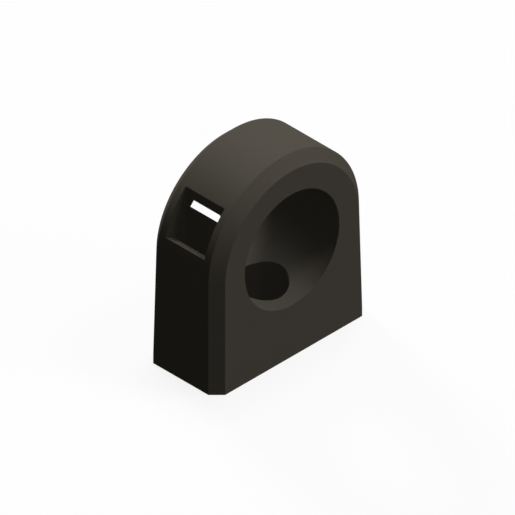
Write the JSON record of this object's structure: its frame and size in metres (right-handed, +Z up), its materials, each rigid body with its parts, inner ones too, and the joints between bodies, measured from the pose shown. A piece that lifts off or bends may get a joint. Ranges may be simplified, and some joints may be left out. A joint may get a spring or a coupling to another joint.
{
  "type": "conduit clamp",
  "caption": "Arched one-piece plastic conduit clamp with a round through bore, an upright screw hole in its foot and a strap pocket with a sloping slot on each shoulder.",
  "frame": {"origin": "middle of the underside of the foot", "axes": "+Z up from the foot to the crown of the arch, +Y along the conduit bore, +X across the arch"},
  "size_m": [0.0356, 0.0166, 0.0384],
  "materials": {
    "body": "fine satin moulded black"
  },
  "bodies": {
    "root": {"clamp_body": "body"}
  },
  "joints": []
}
